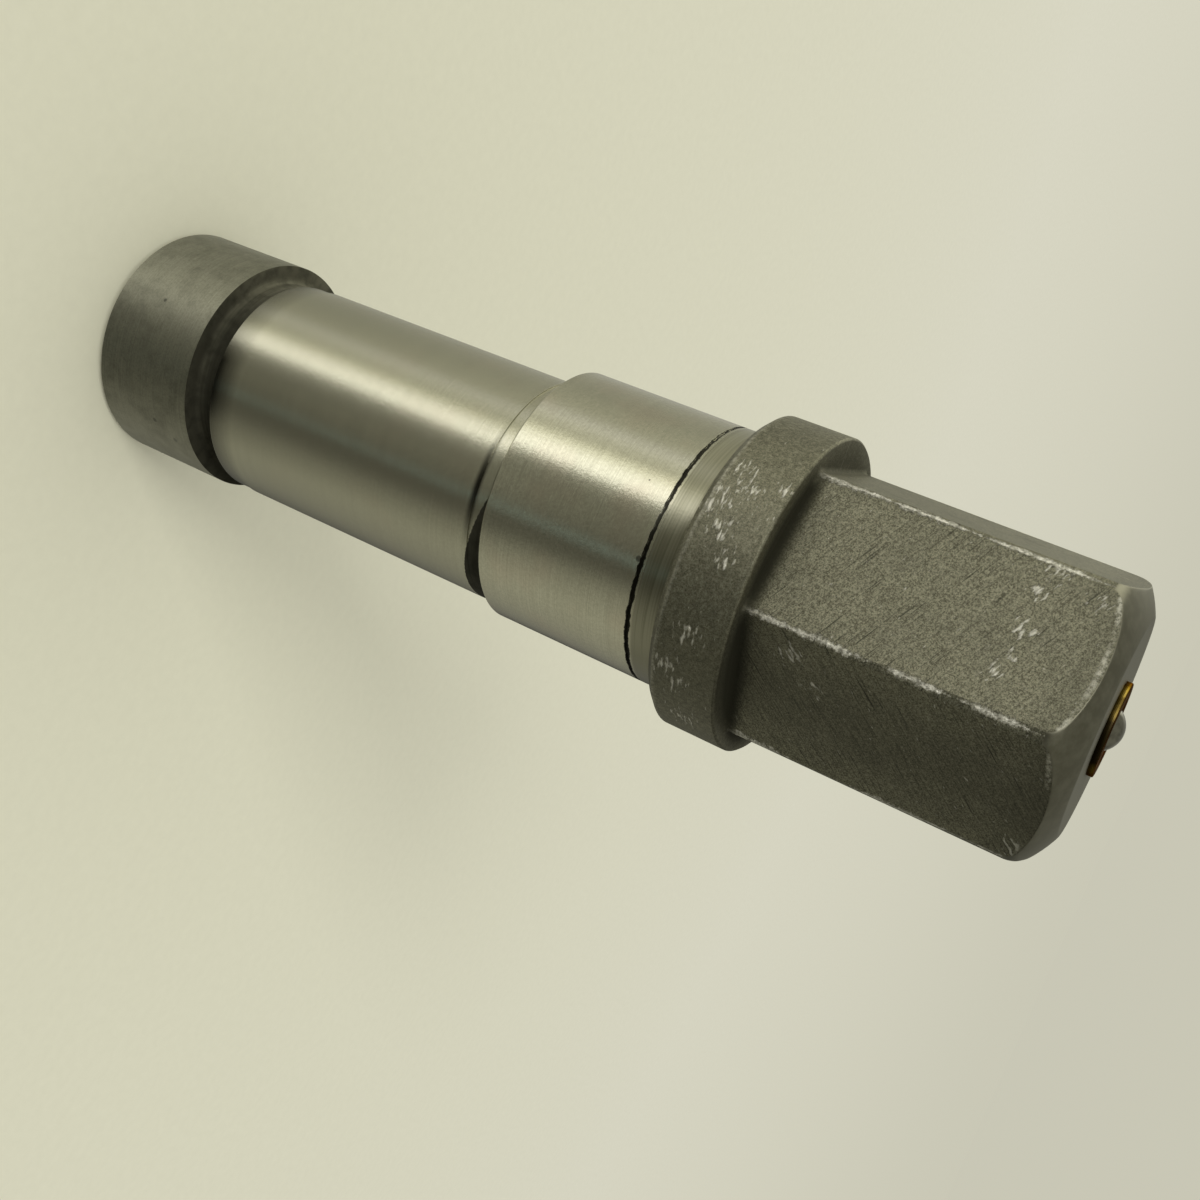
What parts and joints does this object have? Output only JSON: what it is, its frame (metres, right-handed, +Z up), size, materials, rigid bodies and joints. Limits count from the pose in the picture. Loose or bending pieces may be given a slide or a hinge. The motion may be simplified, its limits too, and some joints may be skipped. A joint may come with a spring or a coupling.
{
  "type": "stepped shaft",
  "caption": "Stepped steel drive shaft with a head collar, two ground journals, a flange and a hexagon that holds a spring-loaded ball plunger in its end.",
  "frame": {"origin": "centre of the head collar's end face, on the turning axis, where the shaft stands", "axes": "+Z up the turning axis from the head collar to the hexagon; two flats of the hexagon face -Y and +Y; the small journal is offset along +X"},
  "size_m": [0.032, 0.032, 0.1128],
  "materials": {
    "shaft_steel": "ground journals, satin turned head, blasted flange and hexagon",
    "plunger_brass": "turned",
    "ball_steel": "polished",
    "spring_steel": "drawn wire"
  },
  "bodies": {
    "root": {"shaft": "shaft_steel", "plunger_body": "plunger_brass", "plunger_spring": "spring_steel"},
    "ball": {"plunger_ball": "ball_steel"}
  },
  "joints": [
    {"name": "ball_press", "type": "slide", "parent": "root", "child": "ball", "axis": [0, 0, 1], "range_m": [-0.00095, 0], "stiffness_N_per_m": 2500, "springref_m": 0.0012, "deforming": ["plunger_spring"]}
  ]
}
